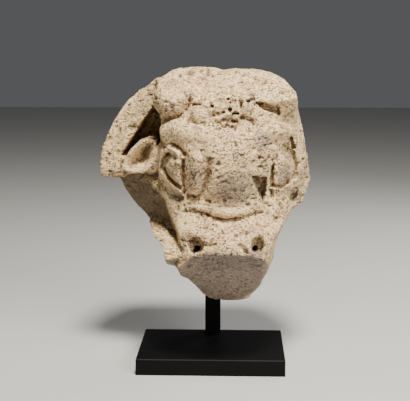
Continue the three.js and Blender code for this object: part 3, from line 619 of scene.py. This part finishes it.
def weather(points):
    """Pits, chips and tool marks: how far each point moves along its normal, and how much painted shade
    darkens it.
    """
    bruise = most(points, BRUISES)
    bridge = spot(points, (0, -50, 55), (12, 9, 14))
    rough = 1 - 0.7 * most(points, CARVED) + 0.4 * bruise
    top = rise(0.2, 0.6, points[:, 2] / 100 - 0.5) * rise(-52, -44, points[:, 1])
    worn = 0.3 * Grain(1)(points, (5.2, 5.2, 4)) + 0.12 * Grain(2)(points, (2.2, 2.2, 1.6))
    patchy = 0.5 + 0.5 * Grain(5)(points, (10, 10, 8))
    wide = rise(0.36 - 0.1 * top, 0.8, Grain(4)(points, (2.4, 2.2, 1.3)))
    wide *= rise(0.2, 0.75, patchy + 0.15 * top)
    small = rise(0.3 - 0.15 * bruise, 0.75, Grain(6)(points, (1.25, 1.2, 0.85)))
    marks = rise(0.1, 0.7, Grain(7)(turned(points, 24), (5, 3, 0.85))) * bridge
    hatch = rise(0.1, 0.7, Grain(8)(turned(points, 62), (3, 3, 0.95))) * bruise
    grit = 0.12 * Grain(3)(points, (1, 1, 0.85))
    move = (worn - 0.8 * wide) * rough + grit - 0.5 * small * (0.5 + 0.5 * rough) - 0.35 * marks - 0.6 * hatch
    # Painted shade in the pits, tool marks and hammered patches, and in the deep cuts
    pit_shade = (wide + 0.8 * small) * (0.4 + 0.6 * rough) + 0.4 * marks + 0.7 * hatch
    pit_shade = np.clip(pit_shade + 0.75 * shade_in_cuts(*points.T), 0, 1)
    return move, pit_shade


def hollows(points, quads, normals, rounds):
    """How far each point lies below its surroundings, smoothed over a number of rounds."""
    shared = np.bincount(quads.ravel(), minlength=len(points))[:, None] * 4
    level = points
    for _ in range(rounds):
        middles = level[quads].sum(axis=1)
        level = sum_at(quads, middles, len(points)) / shared
    return ((level - points) * normals).sum(axis=1)


def soil_and_shade(points, normals):
    """Earth left on the stone, with painted shade: on the broken flank where it faces down and to the left,
    away from the light, and in the recess behind the ear.
    """
    x, y, z = points.T
    # Darker the more the flank faces down and to the left: painted shade
    facing = normals @ np.array(FLANK[0])
    beside = rise(-6, -8.5, x + 0.45 * z)
    flank = rise(0.3, 0.7, facing) * rise(58, 54, z) * beside * rise(27, 36, z)
    flank *= 1 - rise(0.2, 0.6, normals[:, 2])
    return np.maximum(0.92 * flank, 0.2 * spot(points, (-36, -6, 71), (16, 22, 18)) * rise(-21, -18, y))


def carve():
    """The stone's points and quads, and at each point the tones that the limestone is coloured by."""
    axes, values = sample_stone()
    fill_pinches(values)
    points, quads = skin(axes, values)
    normals = normals_of(points, quads)
    move, pit_shade = weather(points)
    moved = points + normals * move[:, None]
    hollow = hollows(moved, quads, normals, SMOOTHING)
    # Painted shade on the faces that turn down under the muzzle, away from the light above
    below = rise(0.3, 0.55, -normals[:, 2]) * rise(29, 26, points[:, 2]) * rise(-20, -27, points[:, 1])
    underside = below * (1.2 + 0.25 * rise(14, 24, points[:, 2]) * rise(16, 8, abs(points[:, 0] - 3)))
    tones = {
        # Painted shade in the pits, chips and tool marks
        "pit_shade": pit_shade,
        # Painted shade in hollows and creases, deeper on the faces under the muzzle
        "hollow": np.maximum(rise(0.06, 0.6, hollow), 0.8 * rise(0.02, 0.3, hollow) * below),
        # Painted highlight on edges and ridges
        "edge": rise(0.04, 0.6, -hollow),
        # Grey stone, and painted shade on the lower bridge, under the left horn, along the lip and on the
        # faces under the muzzle
        "grey_and_shade": np.maximum(0.95 * most(moved, GREY_AND_SHADE_PATCHES), underside),
        # Earth with painted shade on the flank and in the recess behind the ear
        "soil_and_shade": soil_and_shade(points, normals),
        "stain": most(points, STAINS),
    }
    return moved, quads, tones


def stone_object():
    points, quads, tones = carve()
    mesh = bpy.data.meshes.new("carved_stone")
    mesh.vertices.add(len(points))
    mesh.vertices.foreach_set("co", (points * PART + np.array(FACE_ORIGIN)).astype(np.float32).ravel())
    mesh.loops.add(quads.size)
    mesh.loops.foreach_set("vertex_index", quads.ravel().astype(np.int32))
    mesh.polygons.add(len(quads))
    mesh.polygons.foreach_set("loop_start", np.arange(0, quads.size, 4, dtype=np.int32))
    mesh.update(calc_edges=True)
    mesh.validate()
    mesh.shade_smooth()
    for name, tone in tones.items():
        mesh.attributes.new(name, "FLOAT", "POINT").data.foreach_set("value", tone.astype(np.float32))
    stone = bpy.data.objects.new("carved_stone", mesh)
    bpy.context.scene.collection.objects.link(stone)
    thinner = stone.modifiers.new("thinner", "DECIMATE")
    thinner.ratio = min(1, MOST_TRIANGLES / (2 * len(quads)))
    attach(stone, "root")
    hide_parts("bull_head")
    return stone


class Socket:
    """A shader value that can be used in Python arithmetic."""

    def __init__(self, finish, link):
        self.finish = finish
        self.link = link

    def math(self, operation, *others):
        return self.finish.node("Math", {"operation": operation}, dict(enumerate((self, *others))))

    def __add__(self, other):
        return self.math("ADD", other)

    def __sub__(self, other):
        return self.math("SUBTRACT", other)

    def __rsub__(self, other):
        return (self * -1).math("ADD", other)

    def __mul__(self, other):
        return self.math("MULTIPLY", other)

    __radd__ = __add__
    __rmul__ = __mul__

    def rise(self, low, high):
        """0 below low, 1 above high, with a smooth step between."""
        settings = {"interpolation_type": "SMOOTHSTEP"}
        return self.finish.node("MapRange", settings, {"Value": self, "From Min": low, "From Max": high})


class Finish:
    """A material being made, with its shader."""

    def __init__(self, name, **constants):
        self.material = bpy.data.materials.new(name)
        self.material.use_nodes = True
        self.tree = self.material.node_tree
        self.shader = self.tree.nodes["Principled BSDF"]
        for socket, value in constants.items():
            self.shader.inputs[socket.replace("_", " ")].default_value = value

    def put(self, socket, value):
        if isinstance(value, Socket):
            self.tree.links.new(value.link, socket)
        else:
            socket.default_value = value

    def node(self, kind, settings=None, sockets=None, output=0):
        node = self.tree.nodes.new("ShaderNode" + kind)
        for name, value in (settings or {}).items():
            setattr(node, name, value)
        for name, value in (sockets or {}).items():
            self.put(node.inputs[name], value)
        return Socket(self, node.outputs[output])

    def place(self):
        return self.node("TexCoord", output=3)

    def stretched(self, scale):
        """The place in the object, multiplied by a scale for each axis."""
        return self.node("VectorMath", {"operation": "MULTIPLY"}, {0: self.place(), 1: scale})

    def noise(self, scale, stretch=(1, 1, 1), detail=3, roughness=0.5):
        values = {"Vector": self.stretched(stretch), "Scale": scale, "Detail": detail, "Roughness": roughness}
        return self.node("TexNoise", None, values)

    def mix(self, share, first, second, blend="MIX"):
        """Two colours mixed. A Mix node's colour sockets are its seventh and eighth."""
        values = {0: share, 6: first, 7: second}
        return self.node("Mix", {"data_type": "RGBA", "blend_type": blend}, values, 2)

    def bump(self, height, distance, strength=1.0):
        values = {"Height": height, "Distance": distance, "Strength": strength}
        self.feed("Normal", self.node("Bump", None, values))

    def feed(self, socket, value):
        self.put(self.shader.inputs[socket], value)


def colour(red, green, blue):
    return (red, green, blue, 1)


def limestone():
    finish = Finish("limestone", Roughness=0.93)

    def tone(name):
        return finish.node("Attribute", {"attribute_name": name}, output=2)

    cloud = finish.noise(45, (1, 1, 1.4), detail=5, roughness=0.72)
    speckle = finish.noise(420, (1, 1, 1.4), detail=3, roughness=0.7)
    grit = finish.noise(1100, detail=2, roughness=0.6)
    patches = finish.noise(24, detail=3, roughness=0.6)
    # The cream is the stone's own colour, and also that of the painted highlight on edges
    cream_and_highlight, buff = colour(0.90, 0.665, 0.365), colour(0.60, 0.41, 0.22)
    # The grey and the brown colour the stone, and also its painted shade
    grey_and_shade, brown_and_shade = colour(0.235, 0.185, 0.15), colour(0.12, 0.078, 0.045)
    ochre, earth_and_shade = colour(0.72, 0.44, 0.25), colour(0.145, 0.10, 0.052)
    base = finish.mix(cloud.rise(0.4, 0.66), cream_and_highlight, buff)
    base = finish.mix(tone("stain") * cloud.rise(0.36, 0.6) * 0.6, base, ochre)
    # Grey stone, and painted shade on the lower bridge, under the left horn, along the lip and under the
    # muzzle
    base = finish.mix(tone("grey_and_shade") * 0.75 + cloud.rise(0.6, 0.74) * 0.2, base, grey_and_shade)
    # Earth with painted shade on the flank and in the recess behind the ear
    base = finish.mix(tone("soil_and_shade"), base, earth_and_shade)
    # Painted highlight on edges and ridges, in the stone's cream
    base = finish.mix(tone("edge") * 0.3, base, cream_and_highlight)
    base = finish.mix(speckle.rise(0.5, 0.6) * (patches.rise(0.4, 0.62) * 0.6 + 0.3), base, brown_and_shade)
    # Painted shade in hollows, creases and the recess behind the ear
    base = finish.mix(tone("hollow") * 0.6, base, brown_and_shade)
    # Painted shade in the pits, chips and tool marks
    base = finish.mix(tone("pit_shade") * 0.8, base, brown_and_shade)
    finish.feed("Base Color", base)
    finish.bump(cloud * 0.7 - speckle.rise(0.5, 0.7) - grit * 0.4, 0.0018, 1)
    return finish.material


def black_paint():
    finish = Finish("black_paint", Base_Color=colour(0.002, 0.002, 0.0022), Specular_IOR_Level=0.1)
    dust = finish.noise(90, detail=4)
    finish.feed("Roughness", dust * 0.2 + 0.45)
    finish.bump(finish.noise(900, detail=2), 0.00015, 0.3)
    return finish.material


def black_lacquer():
    finish = Finish("black_lacquer", Specular_IOR_Level=0.12)
    grain = finish.noise(60, (0.06, 1, 1), detail=6, roughness=0.6)
    finish.feed("Base Color", finish.mix(grain, colour(0.001, 0.001, 0.0012), colour(0.004, 0.0036, 0.0036)))
    finish.feed("Roughness", grain * 0.2 + 0.42)
    finish.bump(grain, 0.0003, 0.35)
    return finish.material


def give(obj, material):
    """Makes this the only material of an object."""
    obj.data.materials.clear()
    obj.data.materials.append(material)


def floor():
    mesh = bpy.data.meshes.new("floor")
    reach = 6.0
    corners = [(-reach, -reach, 0), (reach, -reach, 0), (reach, reach, 0), (-reach, reach, 0)]
    mesh.from_pydata(corners, [], [(0, 1, 2, 3)])
    plate = bpy.data.objects.new("floor", mesh)
    bpy.context.scene.collection.objects.link(plate)
    give(plate, Finish("pale_floor", Base_Color=colour(0.5, 0.5, 0.49), Roughness=0.8).material)
    plate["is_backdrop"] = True


def lamp(name, at, aim, size, power, tint=(1, 1, 1)):
    light = bpy.data.lights.new(name, "AREA")
    light.shape = "DISK"
    light.size = size
    light.energy = power
    light.color = tint
    holder = bpy.data.objects.new(name, light)
    bpy.context.scene.collection.objects.link(holder)
    holder.location = at
    towards = np.array(aim, float) - np.array(at, float)
    holder.rotation_euler = Vector(towards).to_track_quat("-Z", "Y").to_euler()


def studio():
    world = bpy.data.worlds.new("studio")
    bpy.context.scene.world = world
    world.use_nodes = True
    sky = world.node_tree.nodes["Background"]
    sky.inputs["Color"].default_value = colour(0.80, 0.82, 0.85)
    sky.inputs["Strength"].default_value = 0.12
    head = (0.0, 0.0, 0.23)
    lamp("key", (0.16, -0.8, 1.8), head, 0.4, 78, (1, 0.94, 0.84))
    lamp("fill", (1.0, -1.2, 0.9), head, 0.8, 20, (1, 0.96, 0.92))
    lamp("rim", (0.9, 0.9, 0.9), head, 0.6, 8)


def camera():
    lens = bpy.data.cameras.new("camera")
    lens.sensor_width = 36
    lens.lens = 83.9
    lens.clip_start = 0.01
    eye = bpy.data.objects.new("camera", lens)
    bpy.context.scene.collection.objects.link(eye)
    eye.location = (0.031, -1.167, 0.380)
    eye.rotation_euler = (radians(90 - 8.6), 0, radians(1.94))
    bpy.context.scene.camera = eye


camera()
studio()
floor()
give(stone_object(), limestone())
give(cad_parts["support_bar"], black_paint())
give(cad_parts["base_block"], black_lacquer())

boxes = {"cad": cad_box, "visual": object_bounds()}
plain = {name: [[float(v) for v in corner] for corner in corners] for name, corners in boxes.items()}
